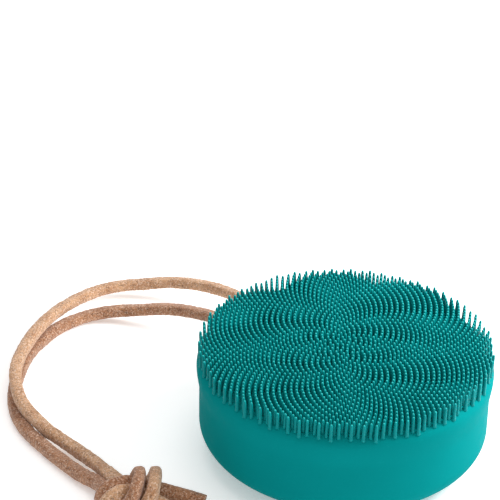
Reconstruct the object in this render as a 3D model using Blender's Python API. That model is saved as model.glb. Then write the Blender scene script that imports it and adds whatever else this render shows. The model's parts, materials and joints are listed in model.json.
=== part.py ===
"""Round rechargeable silicone cleansing brush with a looped and knotted leather strap.

The brush rests on its underside at z = 0 with the bristles up. The origin is the middle of
the underside, +Z goes up through the bristles, and +Y points at the side the strap leaves.
Lengths are metres.
"""
import math

import bmesh
import bpy
from mathutils import Matrix, Vector

# ---- driving dimensions -------------------------------------------------------------------
BODY_R = 0.0420            # widest radius, at the shoulder under the bristles
WAIST_R = 0.0412           # radius of the side wall
TOTAL_H = 0.0345           # underside to bristle tips
FACE_Z = 0.0303            # silicone face the bristles stand on
SHOULDER_A, SHOULDER_B = 0.0032, 0.0032     # half axes of the rounded shoulder
FOOT_R = 0.0262            # flat ring that the brush rests on
FOOT_RISE = 0.0098         # height of the rounded lower edge
SKIN = 0.0024              # silicone wall
SKIN_UNDER = 0.0020        # silicone under the housing
MOUTH_R = 0.0202           # opening in the underside of the skin
GAP = 0.0003               # clearance between pieces that touch

BRISTLE_TIP_R = 0.0412     # outer radius of the bristle field

HOUSING_R = WAIST_R - SKIN - GAP            # outside of the hard housing
WALL = 0.0016              # housing wall
FLOOR_Z = SKIN_UNDER + GAP                  # outside of the housing floor
PARTING_Z = 0.0207         # rim of the housing base
SEAL_H = 0.0006
LID_TOP_Z = 0.0270

COVER_R = 0.0199           # hard disc in the mouth of the skin
COVER_Z = (0.0002, 0.0019)
BUTTON_R = 0.0077
BUTTON_FLANGE_R = 0.0092

BOARD_R = 0.0220
BOARD_Z = (0.0080, 0.0092)
CHASSIS_R = 0.0330
CHASSIS_Z = (0.0114, 0.0126)

HOUSING_SCREW_R = 0.0325   # radius of the ring of four housing screws
HOUSING_SCREW_DEG = (10, 85, 175, 275)
CHASSIS_POST_R = 0.0285
CHASSIS_POST_DEG = (95, 200, 345)
BOARD_POST_R = 0.0190
BOARD_POST_DEG = (60, 180, 300)

PIN_R, PIN_X = 0.0012, 0.0135               # charging contacts at x = -PIN_X and PIN_X
MAGNET_R, MAGNET_Y = 0.0025, -0.0112
LIGHT_Y = 0.0130

MOTOR_R = 0.0056
MOTOR_X = (-0.0160, 0.0060)
MOTOR_AXIS = Vector((0.0, -0.0150, 0.0184))  # a point on the motor shaft's axis
SHAFT_R = 0.0008
SHAFT_BORE_R = 0.0011
WEIGHT_R = 0.0050

BATTERY_LOW = Vector((-0.0070, 0.0030, 0.0129))
BATTERY_HIGH = Vector((0.0260, 0.0210, 0.0199))

# The strap leaves through a socket in the side, at this angle from +X.
STRAP_DEG = 125.0
STRAP_OUT = Vector((math.cos(math.radians(STRAP_DEG)), math.sin(math.radians(STRAP_DEG)), 0))
STRAP_SIDE = Vector((-STRAP_OUT.y, STRAP_OUT.x, 0))
STRAP_Z = 0.0145           # height of the strap in the socket
SOCKET_IN, SOCKET_OUT = 0.0268, 0.0398      # from the body's axis, along STRAP_OUT
SOCKET_HALF_W, SOCKET_HALF_H = 0.0088, 0.0042
SOCKET_WALL = 0.0012
BAR_R = 0.0032             # bar that the strap is looped round
BAR_OUT = 0.0355           # distance of the bar from the body's axis
CORD_R = 0.0018            # the strap's plain tube
BEND_R = BAR_R + GAP + CORD_R

# The strap's two strands as they lie, from the socket to the knot.
STRAND_A = [
    (-0.0237, 0.0433, 0.0138), (-0.0300, 0.0545, 0.0122), (-0.0371, 0.0649, 0.0100),
    (-0.0468, 0.0722, 0.0082), (-0.0567, 0.0759, 0.0066), (-0.0655, 0.0768, 0.0050),
    (-0.0738, 0.0760, 0.0042), (-0.0818, 0.0710, 0.0042), (-0.0894, 0.0598, 0.0052),
    (-0.0944, 0.0470, 0.0061), (-0.0972, 0.0342, 0.0065), (-0.0981, 0.0220, 0.0066),
    (-0.0964, 0.0112, 0.0062), (-0.0924, 0.0020, 0.0053), (-0.0848, -0.0068, 0.0038),
    (-0.0760, -0.0140, 0.0029), (-0.0680, -0.0222, 0.0036), (-0.0617, -0.0290, 0.0048),
]
STRAND_B = [
    (-0.0330, 0.0377, 0.0138), (-0.0382, 0.0446, 0.0122), (-0.0438, 0.0508, 0.0103),
    (-0.0545, 0.0573, 0.0078), (-0.0667, 0.0607, 0.0048), (-0.0764, 0.0611, 0.0032),
    (-0.0841, 0.0583, 0.0022), (-0.0900, 0.0525, 0.0019), (-0.0943, 0.0444, 0.0019),
    (-0.0969, 0.0368, 0.0019), (-0.0980, 0.0277, 0.0019), (-0.0980, 0.0177, 0.0019),
    (-0.0961, 0.0067, 0.0019), (-0.0908, -0.0040, 0.0020), (-0.0820, -0.0146, 0.0022),
    (-0.0722, -0.0247, 0.0028), (-0.0644, -0.0320, 0.0040),
]
KNOT_MIDDLE = Vector((-0.0565, -0.0360, 0.0055))
KNOT_R, KNOT_HALF_H = 0.0080, 0.0052
TAIL_A = [(-0.0478, -0.0330, 0.0052), (-0.0420, -0.0334, 0.0042), (-0.0367, -0.0341, 0.0030)]
TAIL_B = [(-0.0480, -0.0386, 0.0032), (-0.0430, -0.0412, 0.0023), (-0.0372, -0.0446, 0.0020)]

ROUND = 48                 # segments of the large turned pieces
SMALL = 16                 # segments of bosses, posts and holes
FINE = 12                  # segments of screws and contacts


# ---- materials ----------------------------------------------------------------------------
def material(name, colour, roughness, metallic=0.0):
    made = bpy.data.materials.new(name)
    made.use_nodes = True
    shader = made.node_tree.nodes["Principled BSDF"]
    shader.inputs["Base Color"].default_value = (*colour, 1.0)
    shader.inputs["Roughness"].default_value = roughness
    shader.inputs["Metallic"].default_value = metallic
    return made


# ---- shapes -------------------------------------------------------------------------------
def arc(centre_r, centre_z, a, b, start_deg, end_deg, steps):
    """Points of an elliptical arc in the (r, z) plane."""
    points = []
    for step in range(steps + 1):
        angle = math.radians(start_deg + (end_deg - start_deg) * step / steps)
        points.append((centre_r + a * math.cos(angle), centre_z + b * math.sin(angle)))
    return points


def turned(mesh, profile, at=(0.0, 0.0), segments=SMALL):
    """Add the solid that an (r, z) profile sweeps about a vertical axis.

    A profile that starts and ends at r = 0 makes a full solid with flat ends, and any other
    is closed on itself and makes a ring.
    """
    full = profile[0][0] == 0.0
    rings = []
    for radius, height in profile[1:-1] if full else profile:
        ring_points = []
        for step in range(segments):
            angle = 2 * math.pi * step / segments
            place = (at[0] + radius * math.cos(angle), at[1] + radius * math.sin(angle), height)
            ring_points.append(mesh.verts.new(place))
        rings.append(ring_points)
    following = rings[1:] if full else rings[1:] + rings[:1]
    for low, high in zip(rings, following):
        for step in range(segments):
            after = (step + 1) % segments
            mesh.faces.new((low[step], low[after], high[after], high[step]))
    if full:
        mesh.faces.new(rings[0][::-1])
        mesh.faces.new(rings[-1])


def rod(radius, low, high):
    """Profile of a plain cylinder."""
    return [(0.0, low), (radius, low), (radius, high), (0.0, high)]


def ring(inner, outer, low, high):
    """Profile of a plain ring."""
    return [(inner, low), (outer, low), (outer, high), (inner, high)]


def block(mesh, low, high, turn=Matrix.Identity(4)):
    """Add a box between two corners, then turn it."""
    middle = (Vector(low) + Vector(high)) / 2
    size = Vector(high) - Vector(low)
    place = turn @ Matrix.Translation(middle) @ Matrix.Diagonal((*size, 1.0))
    bmesh.ops.create_cube(mesh, size=1.0, matrix=place)


def piece(name, look, build, location=(0, 0, 0), turn=(0, 0, 0), smooth_deg=40):
    """Make an object from a function that fills a bmesh."""
    mesh = bmesh.new()
    build(mesh)
    bmesh.ops.recalc_face_normals(mesh, faces=mesh.faces)
    data = bpy.data.meshes.new(name)
    mesh.to_mesh(data)
    mesh.free()
    data.shade_smooth()
    data.set_sharp_from_angle(angle=math.radians(smooth_deg))
    made = bpy.data.objects.new(name, data)
    made.location = location
    made.rotation_euler = turn
    if look:
        made.data.materials.append(look)
    bpy.context.scene.collection.objects.link(made)
    return made


def tool(name, build):
    """Make a cutter or an addition that is left out of the model itself."""
    made = piece(name, None, build)
    made.hide_render = True
    made.display_type = "WIRE"
    return made


def combine(target, other, operation):
    step = target.modifiers.new(other.name, "BOOLEAN")
    step.operation = operation
    step.solver = "EXACT"
    step.object = other


def round_place(radius, degrees):
    angle = math.radians(degrees)
    return (radius * math.cos(angle), radius * math.sin(angle))


def strap_turn():
    """Turn that sends +X to the direction the strap leaves in."""
    return Matrix.Rotation(math.radians(STRAP_DEG), 4, "Z")


# ---- routes -------------------------------------------------------------------------------
def smooth_route(points, spacing):
    """Points at equal spacing on a Catmull-Rom curve through the given points."""
    places = [Vector(point) for point in points]
    ends = [2 * places[0] - places[1]] + places + [2 * places[-1] - places[-2]]
    fine = [places[0]]
    steps = 24
    for before, start, end, after in zip(ends, ends[1:], ends[2:], ends[3:]):
        for step in range(1, steps + 1):
            t = step / steps
            fine.append(0.5 * ((2 * start) + (end - before) * t
                               + (2 * before - 5 * start + 4 * end - after) * t ** 2
                               + (3 * start - before - 3 * end + after) * t ** 3))
    total = sum((b - a).length for a, b in zip(fine, fine[1:]))
    count = max(2, round(total / spacing))
    wanted = [total * step / count for step in range(count + 1)]
    route, walked, index = [fine[0]], 0.0, 0
    for distance in wanted[1:-1]:
        while walked + (fine[index + 1] - fine[index]).length < distance:
            walked += (fine[index + 1] - fine[index]).length
            index += 1
        along = (distance - walked) / (fine[index + 1] - fine[index]).length
        route.append(fine[index].lerp(fine[index + 1], along))
    return route + [fine[-1]]


def tube(name, look, route, radius):
    """A round tube along a route, with closed ends."""
    data = bpy.data.curves.new(name, "CURVE")
    data.dimensions = "3D"
    data.bevel_depth = radius
    data.bevel_resolution = 2
    data.use_fill_caps = True
    data.render_resolution_u = 0
    line = data.splines.new("POLY")
    line.points.add(len(route) - 1)
    for point, place in zip(line.points, route):
        point.co = (*place, 1.0)
    line.use_smooth = True
    made = bpy.data.objects.new(name, data)
    made.data.materials.append(look)
    bpy.context.scene.collection.objects.link(made)
    return made


def round_the_bar(side):
    """The strap's way from behind the bar to one side of it, as points on an arc."""
    bar = STRAP_OUT * BAR_OUT + Vector((0, 0, STRAP_Z))
    first = 2 * GAP / BEND_R
    points = []
    for step in range(7):
        angle = first + (math.pi / 2 - first) * step / 6
        points.append(bar - STRAP_OUT * BEND_R * math.cos(angle)
                      + STRAP_SIDE * side * BEND_R * math.sin(angle))
    return points


# ---- silicone -----------------------------------------------------------------------------
def make_skin(look):
    shoulder_r = BODY_R - SHOULDER_A
    shoulder_z = FACE_Z - SHOULDER_B
    waist_z = 0.0195
    outside = [(MOUTH_R, 0.0)]
    outside += arc(FOOT_R, FOOT_RISE, WAIST_R - FOOT_R, FOOT_RISE, -90, 0, 7)
    outside += [(WAIST_R, waist_z)]
    outside += [(WAIST_R + (BODY_R - WAIST_R) * ease, waist_z + (shoulder_z - waist_z) * rise)
                for ease, rise in ((0.10, 0.30), (0.45, 0.60), (0.85, 0.85))]
    outside += arc(shoulder_r, shoulder_z, SHOULDER_A, SHOULDER_B, 0, 90, 4)
    inside_top = FACE_Z - 0.0027
    inside_r = WAIST_R - SKIN
    inside = [(0.0, inside_top), (inside_r - 0.0020, inside_top), (inside_r, inside_top - 0.0020)]
    inside += arc(FOOT_R, FOOT_RISE, inside_r - FOOT_R, FOOT_RISE - SKIN_UNDER, 0, -90, 4)
    inside += [(MOUTH_R, SKIN_UNDER)]
    profile = [(0.0, FACE_Z)] + outside[::-1] + inside[::-1]

    skin = piece("silicone_skin", look, lambda m: turned(m, profile, segments=ROUND))
    window = tool("skin_window", lambda m: block(
        m,
        (0.0340, -SOCKET_HALF_W - GAP, STRAP_Z - SOCKET_HALF_H - GAP),
        (0.0460, SOCKET_HALF_W + GAP, STRAP_Z + SOCKET_HALF_H + GAP),
        strap_turn()))
    combine(skin, window, "DIFFERENCE")


def make_bristle_field(look):
    """Solid that fills the room of the moulded bristles."""
    low = FACE_Z + GAP
    slope = arc(BODY_R - SHOULDER_A, FACE_Z - SHOULDER_B, SHOULDER_A + GAP, SHOULDER_B + GAP,
                90, 40, 3)
    inner_rim = slope[-1]
    profile = [(0.0, low)] + slope + [
        (BRISTLE_TIP_R + 0.0006, inner_rim[1] + 0.0006),
        (BRISTLE_TIP_R, TOTAL_H - 0.0004),
        (BRISTLE_TIP_R - 0.0006, TOTAL_H),
        (0.0, TOTAL_H),
    ]
    piece("bristle_field", look, lambda m: turned(m, profile, segments=ROUND))


# ---- housing ------------------------------------------------------------------------------
def make_housing(look):
    inner_r = HOUSING_R - WALL
    floor_top = FLOOR_Z + WALL
    outside = [(0.0, FLOOR_Z)]
    outside += arc(FOOT_R, FOOT_RISE, HOUSING_R - FOOT_R, FOOT_RISE - FLOOR_Z, -90, 0, 4)
    outside += [(HOUSING_R, PARTING_Z)]
    inside = [(inner_r, PARTING_Z)]
    inside += arc(FOOT_R, FOOT_RISE, inner_r - FOOT_R, FOOT_RISE - floor_top, 0, -90, 4)
    inside += [(0.0, floor_top)]
    base = piece("housing_base", look, lambda m: turned(m, outside + inside, segments=ROUND))

    def bosses(mesh):
        for degrees in HOUSING_SCREW_DEG:
            turned(mesh, rod(0.0034, 0.0054, PARTING_Z - 0.0002),
                   round_place(HOUSING_SCREW_R, degrees))
        for degrees in CHASSIS_POST_DEG:
            turned(mesh, rod(0.0026, 0.0036, CHASSIS_Z[0] - GAP),
                   round_place(CHASSIS_POST_R, degrees))
        for degrees in BOARD_POST_DEG:
            turned(mesh, rod(0.0020, 0.0036, BOARD_Z[0] - GAP),
                   round_place(BOARD_POST_R, degrees))
    combine(base, tool("base_bosses", bosses), "UNION")

    def base_cuts(mesh):
        stepped = [(0.0, -0.0010), (0.0026, -0.0010), (0.0026, 0.0100), (0.0015, 0.0100),
                   (0.0015, 0.0300), (0.0, 0.0300)]
        for degrees in HOUSING_SCREW_DEG:
            turned(mesh, stepped, round_place(HOUSING_SCREW_R, degrees))
        for degrees in CHASSIS_POST_DEG:
            turned(mesh, rod(0.0012, 0.0055, 0.0200), round_place(CHASSIS_POST_R, degrees))
        for degrees in BOARD_POST_DEG:
            turned(mesh, rod(0.0010, 0.0045, 0.0100), round_place(BOARD_POST_R, degrees))
        turned(mesh, rod(BUTTON_FLANGE_R + 0.0004, 0.0010, 0.0060), segments=24)
        for side in (-1, 1):
            turned(mesh, rod(PIN_R + GAP, 0.0010, 0.0060), (side * PIN_X, 0.0))
        turned(mesh, rod(0.0013, 0.0010, 0.0060), (0.0, LIGHT_Y))
        block(mesh,
              (0.0340, -SOCKET_HALF_W - GAP, STRAP_Z - SOCKET_HALF_H - GAP),
              (0.0460, SOCKET_HALF_W + GAP, STRAP_Z + SOCKET_HALF_H + GAP),
              strap_turn())
    combine(base, tool("base_holes", base_cuts), "DIFFERENCE")

    low = PARTING_Z + SEAL_H + 2 * GAP
    corner = 0.0030
    lid_profile = [(0.0, LID_TOP_Z), (HOUSING_R - corner, LID_TOP_Z),
                   (HOUSING_R - corner * 0.3, LID_TOP_Z - corner * 0.3),
                   (HOUSING_R, LID_TOP_Z - corner), (HOUSING_R, low), (inner_r, low),
                   (inner_r, LID_TOP_Z - corner), (inner_r - corner * 0.6, LID_TOP_Z - WALL),
                   (0.0, LID_TOP_Z - WALL)]
    lid = piece("housing_lid", look, lambda m: turned(m, lid_profile, segments=ROUND))

    def lid_bosses(mesh):
        for degrees in HOUSING_SCREW_DEG:
            turned(mesh, rod(0.0034, PARTING_Z + GAP, LID_TOP_Z - 0.0008),
                   round_place(HOUSING_SCREW_R, degrees))
    combine(lid, tool("lid_bosses", lid_bosses), "UNION")

    def lid_holes(mesh):
        for degrees in HOUSING_SCREW_DEG:
            turned(mesh, rod(0.0015, 0.0180, 0.0246), round_place(HOUSING_SCREW_R, degrees))
    combine(lid, tool("lid_holes", lid_holes), "DIFFERENCE")


def make_seal(look):
    low = PARTING_Z + GAP
    profile = ring(HOUSING_R - WALL + 0.0002, HOUSING_R - 0.0002, low, low + SEAL_H)
    piece("housing_seal", look, lambda m: turned(m, profile, segments=ROUND))


def screw(name, look, place, head_z, head_r, head_h, shank_r, length, upward):
    """A pan-head screw that points up or down from the underside of its head."""
    way = 1 if upward else -1
    profile = [(0.0, head_z - way * head_h), (head_r * 0.75, head_z - way * head_h),
               (head_r, head_z - way * head_h * 0.6), (head_r, head_z), (shank_r, head_z),
               (shank_r, head_z + way * (length - shank_r)), (0.0, head_z + way * length)]
    piece(name, look, lambda m: turned(m, profile, place, FINE))


def make_screws(look):
    for number, degrees in enumerate(HOUSING_SCREW_DEG, 1):
        screw(f"housing_screw_{number}", look, round_place(HOUSING_SCREW_R, degrees),
              0.0100 - GAP, 0.0022, 0.0016, 0.0012, 0.0140, True)
    for number, degrees in enumerate(CHASSIS_POST_DEG, 1):
        screw(f"chassis_screw_{number}", look, round_place(CHASSIS_POST_R, degrees),
              CHASSIS_Z[1] + GAP, 0.0020, 0.0013, 0.0009, 0.0068, False)
    for number, degrees in enumerate(BOARD_POST_DEG, 1):
        screw(f"board_screw_{number}", look, round_place(BOARD_POST_R, degrees),
              BOARD_Z[1] + GAP, 0.0016, 0.0010, 0.0007, 0.0044, False)


# ---- underside ----------------------------------------------------------------------------
def make_cover(look):
    low, high = COVER_Z
    chamfer = 0.0003
    profile = [(BUTTON_R + GAP, low + chamfer), (BUTTON_R + GAP + chamfer, low),
               (COVER_R - chamfer, low), (COVER_R, low + chamfer), (COVER_R, high),
               (BUTTON_R + GAP, high)]
    cover = piece("base_cover", look, lambda m: turned(m, profile, segments=ROUND))

    def holes(mesh):
        for side in (-1, 1):
            turned(mesh, rod(PIN_R + GAP, -0.0010, 0.0040), (side * PIN_X, 0.0))
        turned(mesh, rod(0.0013, -0.0010, 0.0040), (0.0, LIGHT_Y))
    combine(cover, tool("cover_holes", holes), "DIFFERENCE")


def make_button(look):
    """Cap, flange and stem, about the button's own axis."""
    cap_low, flange_low, flange_high, stem_high = 0.0009, 0.0022, 0.0029, 0.0049
    profile = [(0.0, cap_low + 0.0004), (BUTTON_R * 0.7, cap_low + 0.0001),
               (BUTTON_R - 0.0004, cap_low), (BUTTON_R, cap_low + 0.0004),
               (BUTTON_R, flange_low), (BUTTON_FLANGE_R, flange_low),
               (BUTTON_FLANGE_R, flange_high), (0.0016, flange_high),
               (0.0016, stem_high), (0.0, stem_high)]
    piece("power_button", look, lambda m: turned(m, profile, segments=36))


def make_charging(pin_look, magnet_look, light_look):
    for name, side in (("charge_pin_left", -1), ("charge_pin_right", 1)):
        pin = [(0.0, 0.0004), (PIN_R - 0.0003, 0.0004), (PIN_R, 0.0007), (PIN_R, 0.0070),
               (0.0, 0.0070)]
        piece(name, pin_look, lambda m, p=pin, x=side * PIN_X: turned(m, p, (x, 0.0), FINE))
    top = FLOOR_Z + WALL + GAP
    for name, side in (("charge_magnet_left", -1), ("charge_magnet_right", 1)):
        place = (side * 0.0075, MAGNET_Y)
        piece(name, magnet_look, lambda m, at=place: turned(m, rod(MAGNET_R, top, top + 0.0018), at))
    piece("light_pipe", light_look,
          lambda m: turned(m, rod(0.0010, 0.0004, 0.0068), (0.0, LIGHT_Y), FINE))


# ---- electronics --------------------------------------------------------------------------
def make_board(board_look, chip_look, plug_look, light_look):
    board = piece("control_board", board_look,
                  lambda m: turned(m, rod(BOARD_R, *BOARD_Z), segments=36))

    def holes(mesh):
        for degrees in BOARD_POST_DEG:
            turned(mesh, rod(0.0010, 0.0, 0.0200), round_place(BOARD_POST_R, degrees))
    combine(board, tool("board_holes", holes), "DIFFERENCE")
    low, high = BOARD_Z[0] - GAP, BOARD_Z[1] + GAP
    piece("control_chip", chip_look,
          lambda m: block(m, (0.0020, -0.0035, high), (0.0090, 0.0035, high + 0.0009)))
    piece("lead_socket", plug_look,
          lambda m: block(m, (-0.0080, -0.0130, high), (0.0000, -0.0090, high + 0.0011)))
    piece("status_led", light_look,
          lambda m: block(m, (-0.0008, LIGHT_Y - 0.0008, low - 0.0006), (0.0008, LIGHT_Y + 0.0008, low)))


def make_switch(case_look, plunger_look):
    low, high = 0.0060, BOARD_Z[0] - GAP
    case = piece("tact_switch", case_look,
                 lambda m: block(m, (-0.0030, -0.0030, low), (0.0030, 0.0030, high)))
    combine(case, tool("switch_bore", lambda m: turned(m, rod(0.0020, 0.0040, 0.0073))),
            "DIFFERENCE")
    piece("switch_plunger", plunger_look, lambda m: turned(m, rod(0.0016, 0.0052, 0.0067)))


# ---- drive --------------------------------------------------------------------------------
def make_chassis(look):
    """Plate that carries the battery and the motor."""
    profile = rod(CHASSIS_R, *CHASSIS_Z)
    chassis = piece("chassis", look, lambda m: turned(m, profile, segments=36))
    plate = CHASSIS_Z[1] - 0.0004
    battery_low, battery_high = BATTERY_LOW, BATTERY_HIGH
    rib, room, rib_top = 0.0010, 0.0004, 0.0160

    def ribs(mesh):
        block(mesh, (battery_low.x, battery_low.y - room - rib, plate),
              (battery_high.x, battery_low.y - room, rib_top))
        block(mesh, (battery_low.x + 0.0060, battery_high.y + room, plate),
              (battery_high.x - 0.0020, battery_high.y + room + rib, rib_top))
        block(mesh, (battery_high.x + room, battery_low.y + 0.0020, plate),
              (battery_high.x + room + rib, battery_high.y - 0.0030, rib_top))
        for x in (MOTOR_X[0] + 0.0020, MOTOR_X[1] - 0.0040):
            block(mesh, (x, MOTOR_AXIS.y - 0.0078, plate), (x + 0.0020, MOTOR_AXIS.y + 0.0078, 0.0175))
        for side in (-1, 1):
            turned(mesh, rod(0.0022, plate, 0.0160), (-0.0050, MOTOR_AXIS.y + side * 0.0100))
    combine(chassis, tool("chassis_ribs", ribs), "UNION")

    def cuts(mesh):
        for degrees in CHASSIS_POST_DEG:
            turned(mesh, rod(0.0012, 0.0, 0.0200), round_place(CHASSIS_POST_R, degrees))
        for side in (-1, 1):
            turned(mesh, rod(0.0010, 0.0135, 0.0200), (-0.0050, MOTOR_AXIS.y + side * 0.0100), FINE)
        block(mesh, (SOCKET_IN - 0.0010, -0.0105, 0.0), (0.0460, 0.0105, 0.0300), strap_turn())
        turned(mesh, rod(0.0030, 0.0, 0.0300), (-0.0120, 0.0))
        turned(mesh, rod(0.0025, 0.0, 0.0300), (-0.0172, -0.0062))
        for degrees in HOUSING_SCREW_DEG:
            turned(mesh, rod(0.0040, 0.0, 0.0300), round_place(HOUSING_SCREW_R, degrees))
    combine(chassis, tool("chassis_cuts", cuts), "DIFFERENCE")

    def bed(mesh):
        turned(mesh, rod(MOTOR_R + GAP, -0.0300, 0.0300), segments=24)
    motor_bed = tool("motor_bed", bed)
    motor_bed.location = MOTOR_AXIS
    motor_bed.rotation_euler = (0, math.pi / 2, 0)
    combine(chassis, motor_bed, "DIFFERENCE")


def make_battery(cell_look, pad_look):
    piece("battery_cell", cell_look, lambda m: block(m, BATTERY_LOW, BATTERY_HIGH))
    inset = Vector((0.0030, 0.0030, 0.0))
    low = Vector((*BATTERY_LOW.xy, BATTERY_HIGH.z + GAP)) + inset
    high = Vector((*BATTERY_HIGH.xy, LID_TOP_Z - WALL - GAP)) - inset
    piece("battery_pad", pad_look, lambda m: block(m, low, high))


def make_motor(can_look, shaft_look, weight_look, clamp_look, screw_look):
    """Motor on the X axis, its can fixed and its shaft and weight turning."""
    along_x = (0, math.pi / 2, 0)
    can_profile = [(0.0, MOTOR_X[0]), (MOTOR_R, MOTOR_X[0]), (MOTOR_R, MOTOR_X[1]),
                   (SHAFT_BORE_R, MOTOR_X[1]), (SHAFT_BORE_R, MOTOR_X[1] - 0.0060),
                   (0.0, MOTOR_X[1] - 0.0060)]
    piece("motor_can", can_look, lambda m: turned(m, can_profile, segments=24),
          MOTOR_AXIS, along_x)
    piece("motor_shaft", shaft_look,
          lambda m: turned(m, rod(SHAFT_R, MOTOR_X[1] - 0.0055, 0.0160), segments=FINE),
          MOTOR_AXIS, along_x)

    weight_x = (0.0085, 0.0145)
    steps = 14

    def half_disc(mesh):
        """Sector of a disc, heavier below the shaft, with a hub round the shaft."""
        outline = [(WEIGHT_R * math.cos(math.pi * k / steps), -WEIGHT_R * math.sin(math.pi * k / steps))
                   for k in range(steps + 1)]
        hub_r = 0.0022
        outline += [(hub_r * math.cos(math.pi * k / 8), hub_r * math.sin(math.pi * k / 8))
                    for k in range(8, -1, -1)]
        low = [mesh.verts.new((weight_x[0], y, z)) for y, z in outline]
        high = [mesh.verts.new((weight_x[1], y, z)) for y, z in outline]
        mesh.faces.new(low)
        mesh.faces.new(high)
        for first in range(len(outline)):
            second = (first + 1) % len(outline)
            mesh.faces.new((low[first], low[second], high[second], high[first]))
    weight = piece("eccentric_weight", weight_look, half_disc, MOTOR_AXIS)
    bore = tool("weight_bore", lambda m: turned(m, rod(SHAFT_BORE_R, -0.0300, 0.0300), segments=FINE))
    bore.location = MOTOR_AXIS
    bore.rotation_euler = along_x
    combine(weight, bore, "DIFFERENCE")

    inner, outer = MOTOR_R + GAP, MOTOR_R + GAP + 0.0007
    foot_z, foot_y = 0.0160 + GAP - MOTOR_AXIS.z, 0.0125

    def clamp(mesh):
        """Strap bent over the can, with a foot on each side."""
        lift = foot_z + 0.0007
        reach_in = math.sqrt(inner ** 2 - foot_z ** 2)
        reach_out = math.sqrt(outer ** 2 - lift ** 2)
        first_in = math.atan2(foot_z, reach_in)
        first_out = math.atan2(lift, reach_out)
        inside = [(inner * math.cos(a), inner * math.sin(a)) for a in spread(first_in, 12)]
        outside = [(outer * math.cos(a), outer * math.sin(a)) for a in spread(first_out, 12)]
        outline = ([(foot_y, foot_z)] + inside + [(-foot_y, foot_z), (-foot_y, lift)]
                   + outside[::-1] + [(foot_y, lift)])
        low = [mesh.verts.new((-0.0075, y, z)) for y, z in outline]
        high = [mesh.verts.new((-0.0025, y, z)) for y, z in outline]
        mesh.faces.new(low)
        mesh.faces.new(high)
        for first in range(len(outline)):
            second = (first + 1) % len(outline)
            mesh.faces.new((low[first], low[second], high[second], high[first]))
    made = piece("motor_clamp", clamp_look, clamp, MOTOR_AXIS)

    def holes(mesh):
        for side in (-1, 1):
            turned(mesh, rod(0.0010, 0.0, 0.0300), (-0.0050, MOTOR_AXIS.y + side * 0.0100), FINE)
    combine(made, tool("clamp_holes", holes), "DIFFERENCE")
    for number, side in ((1, -1), (2, 1)):
        screw(f"clamp_screw_{number}", screw_look, (-0.0050, MOTOR_AXIS.y + side * 0.0100),
              0.0160 + 2 * GAP + 0.0007, 0.0015, 0.0009, 0.0007, 0.0030, False)


def spread(first, steps):
    """Angles from one foot of the clamp over the top to the other."""
    last = math.pi - first
    return [first + (last - first) * step / steps for step in range(steps + 1)]


def make_leads(red_look, black_look):
    """Leads of the battery and the motor, each down through the chassis to the board."""
    lead_r, spacing = 0.0005, 0.0024
    battery_x = BATTERY_LOW.x - 0.0008
    motor_x = MOTOR_X[0] - 0.0008
    tube("battery_lead_red", red_look, smooth_route([
        (battery_x, 0.0085, 0.0155), (-0.0104, 0.0070, 0.0152), (-0.0124, 0.0035, 0.0144),
        (-0.0130, 0.0004, 0.0124), (-0.0128, -0.0020, 0.0108), (-0.0110, -0.0055, 0.0101),
        (-0.0084, -0.0086, 0.0101)], spacing), lead_r)
    tube("battery_lead_black", black_look, smooth_route([
        (battery_x, 0.0085, 0.0175), (-0.0102, 0.0066, 0.0170), (-0.0116, 0.0030, 0.0156),
        (-0.0115, 0.0004, 0.0129), (-0.0112, -0.0012, 0.0114), (-0.0096, -0.0044, 0.0101),
        (-0.0064, -0.0086, 0.0101)], spacing), lead_r)
    tube("motor_lead_red", red_look, smooth_route([
        (motor_x, -0.0136, 0.0200), (-0.0188, -0.0124, 0.0194), (-0.0194, -0.0092, 0.0166),
        (-0.0184, -0.0068, 0.0132), (-0.0180, -0.0062, 0.0112), (-0.0174, -0.0062, 0.0097)],
        spacing), lead_r)
    tube("motor_lead_black", black_look, smooth_route([
        (motor_x, -0.0162, 0.0184), (-0.0186, -0.0152, 0.0176), (-0.0188, -0.0110, 0.0152),
        (-0.0170, -0.0072, 0.0130), (-0.0164, -0.0062, 0.0112), (-0.0160, -0.0058, 0.0097)],
        spacing), lead_r)


# ---- strap --------------------------------------------------------------------------------
def make_strap_socket(socket_look, bar_look):
    """Pocket in the side wall, open outwards, with an upright bar across its mouth."""
    low = (SOCKET_IN, -SOCKET_HALF_W, STRAP_Z - SOCKET_HALF_H)
    high = (SOCKET_OUT, SOCKET_HALF_W, STRAP_Z + SOCKET_HALF_H)
    socket = piece("strap_socket", socket_look, lambda m: block(m, low, high, strap_turn()))
    inner_low = Vector(low) + Vector((SOCKET_WALL, SOCKET_WALL, SOCKET_WALL))
    inner_high = Vector(high) + Vector((0.0100, -SOCKET_WALL, -SOCKET_WALL))
    combine(socket, tool("socket_hollow", lambda m: block(m, inner_low, inner_high, strap_turn())),
            "DIFFERENCE")
    place = round_place(BAR_OUT, STRAP_DEG)
    combine(socket, tool("bar_holes", lambda m: turned(
        m, rod(BAR_R * 0.6 + GAP, 0.0, 0.0300), place)), "DIFFERENCE")
    inner_half = SOCKET_HALF_H - SOCKET_WALL - GAP
    full = SOCKET_HALF_H
    bar = [(0.0, STRAP_Z - full), (BAR_R * 0.6, STRAP_Z - full),
           (BAR_R * 0.6, STRAP_Z - inner_half), (BAR_R, STRAP_Z - inner_half),
           (BAR_R, STRAP_Z + inner_half), (BAR_R * 0.6, STRAP_Z + inner_half),
           (BAR_R * 0.6, STRAP_Z + full), (0.0, STRAP_Z + full)]
    piece("strap_bar", bar_look, lambda m: turned(m, bar, place, 24))


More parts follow.
